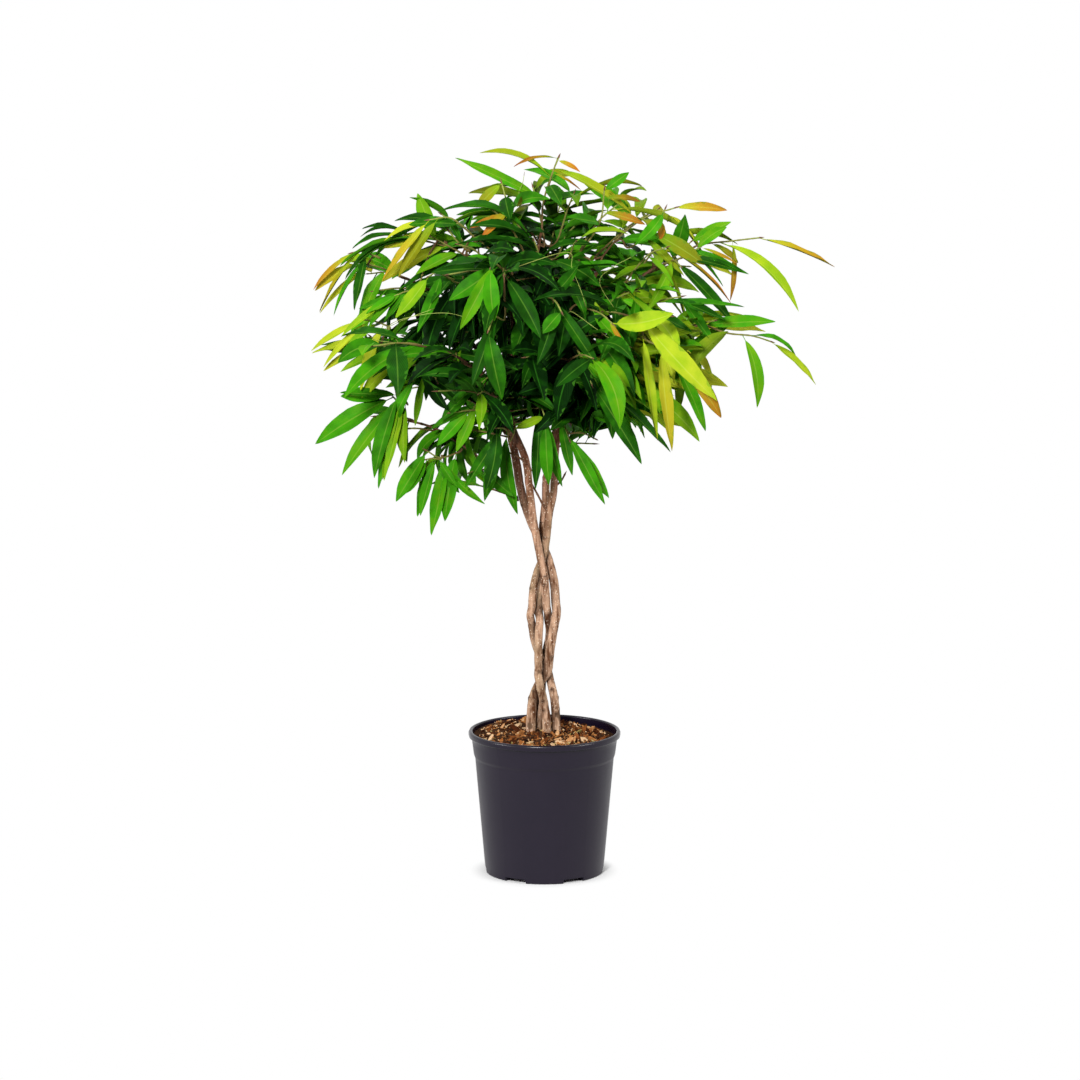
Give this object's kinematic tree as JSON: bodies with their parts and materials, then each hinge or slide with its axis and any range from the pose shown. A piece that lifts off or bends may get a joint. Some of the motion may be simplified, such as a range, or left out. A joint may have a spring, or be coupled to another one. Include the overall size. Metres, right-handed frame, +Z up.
{
  "type": "potted braided ficus",
  "caption": "Indoor long-leaf fig in a tapered round nursery pot: slender stems plaited into one trunk, then branches bearing a wide, open crown of long drooping leaves.",
  "frame": {"origin": "centre of the pot's underside, on the surface it stands on", "axes": "+Z up along the pot's axis, -Y towards the front, +X to the right seen from the front"},
  "size_m": [0.912, 0.8355, 1.2843],
  "materials": {
    "pot_plastic": "satin charcoal black, injection moulded",
    "potting_mix": "rough bark and coir chips",
    "bark": "smooth tan bark with pale specks and leaf scars",
    "leaf": "waxy green, pale midrib"
  },
  "bodies": {
    "root": {"centre_stem": "bark", "centre_stem_tip_shoot": "leaf", "crest_left_branch": "bark", "front_right_fan_shoot": "leaf", "high_back_branch": "bark", "high_back_side_shoot": "leaf", "high_back_tip_shoot": "leaf", "high_front_branch": "bark", "high_front_side_shoot": "leaf", "high_front_tip_shoot": "leaf", "high_left_branch": "bark", "high_left_side_shoot": "leaf", "high_right_branch": "bark", "high_right_side_shoot": "leaf", "left_fan_shoot": "leaf", "left_reach_shoot": "leaf", "left_stem": "bark", "left_stem_tip_shoot": "leaf", "left_tuft_shoot": "leaf", "low_back_branch": "bark", "low_back_left_branch": "bark", "low_back_left_side_shoot": "leaf", "low_back_left_tip_shoot": "leaf", "low_back_side_shoot": "leaf", "low_back_tip_shoot": "leaf", "low_front_branch": "bark", "low_front_side_shoot": "leaf", "low_front_tip_shoot": "leaf", "low_left_branch": "bark", "low_right_branch": "bark", "low_right_side_shoot": "leaf", "low_right_tip_shoot": "leaf", "lower_left_fan_shoot": "leaf", "mid_back_branch": "bark", "mid_back_right_branch": "bark", "mid_back_right_side_shoot": "leaf", "mid_back_right_tip_shoot": "leaf", "mid_back_side_shoot": "leaf", "mid_back_tip_shoot": "leaf", "mid_front_branch": "bark", "mid_front_left_branch": "bark", "mid_front_left_side_shoot": "leaf", "mid_front_left_tip_shoot": "leaf", "mid_front_right_branch": "bark", "mid_front_right_side_shoot": "leaf", "mid_front_side_shoot": "leaf", "mid_front_tip_shoot": "leaf", "mid_left_branch": "bark", "mid_left_side_shoot": "leaf", "mid_right_branch": "bark", "mid_right_side_shoot": "leaf", "pot": "pot_plastic", "potting_mix": "potting_mix", "rear_stem": "bark", "right_arch_shoot": "leaf", "right_crest_shoot": "leaf", "right_stem": "bark", "right_whip_shoot": "leaf", "top_spray_shoot": "leaf", "upper_left_shoot": "leaf"}
  },
  "joints": []
}
